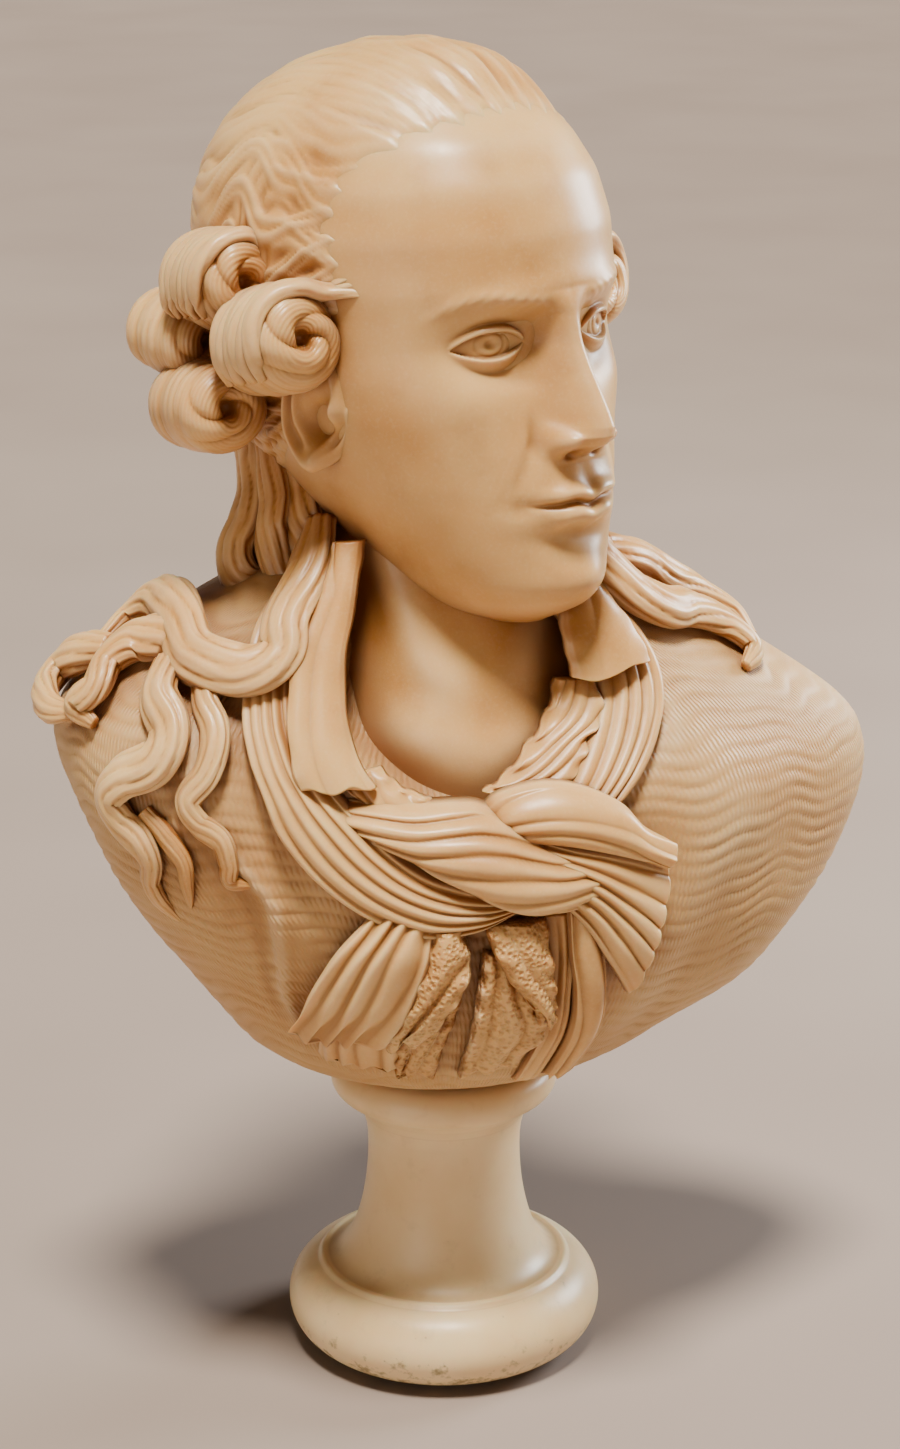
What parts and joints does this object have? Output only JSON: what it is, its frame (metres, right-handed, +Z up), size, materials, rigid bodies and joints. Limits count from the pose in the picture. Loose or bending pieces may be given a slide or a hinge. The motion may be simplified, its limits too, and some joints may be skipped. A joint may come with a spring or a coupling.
{
  "type": "marble bust",
  "caption": "Carved marble portrait bust with rolled side hair, long locks and a knotted cravat, doweled to a turned marble socle on which it can be turned.",
  "frame": {"origin": "centre of the felt's underside, on the axis of the socle", "axes": "+Z up along the socle's axis, -Y the way the chest faces, +X towards the bust's own left"},
  "size_m": [0.374, 0.2369, 0.6234],
  "materials": {
    "bust_marble": "honey-coloured marble, waxed and polished",
    "socle_marble": "cream marble, polished, with dirt in the pores",
    "iron": "forged, dark",
    "lead": "dull lead",
    "felt": "green felt"
  },
  "bodies": {
    "socle": {"socle": "socle_marble", "felt_pad": "felt", "socle_sleeve": "lead", "seat_washer": "lead"},
    "bust": {"bust": "bust_marble", "dowel": "iron", "dowel_lead": "lead", "retaining_washer": "iron", "retaining_nut": "iron"}
  },
  "joints": [
    {"name": "bust_swivel", "type": "hinge", "parent": "socle", "child": "bust", "pos_m": [0, 0, 0.149], "axis": [0, 0, 1], "continuous": true}
  ]
}
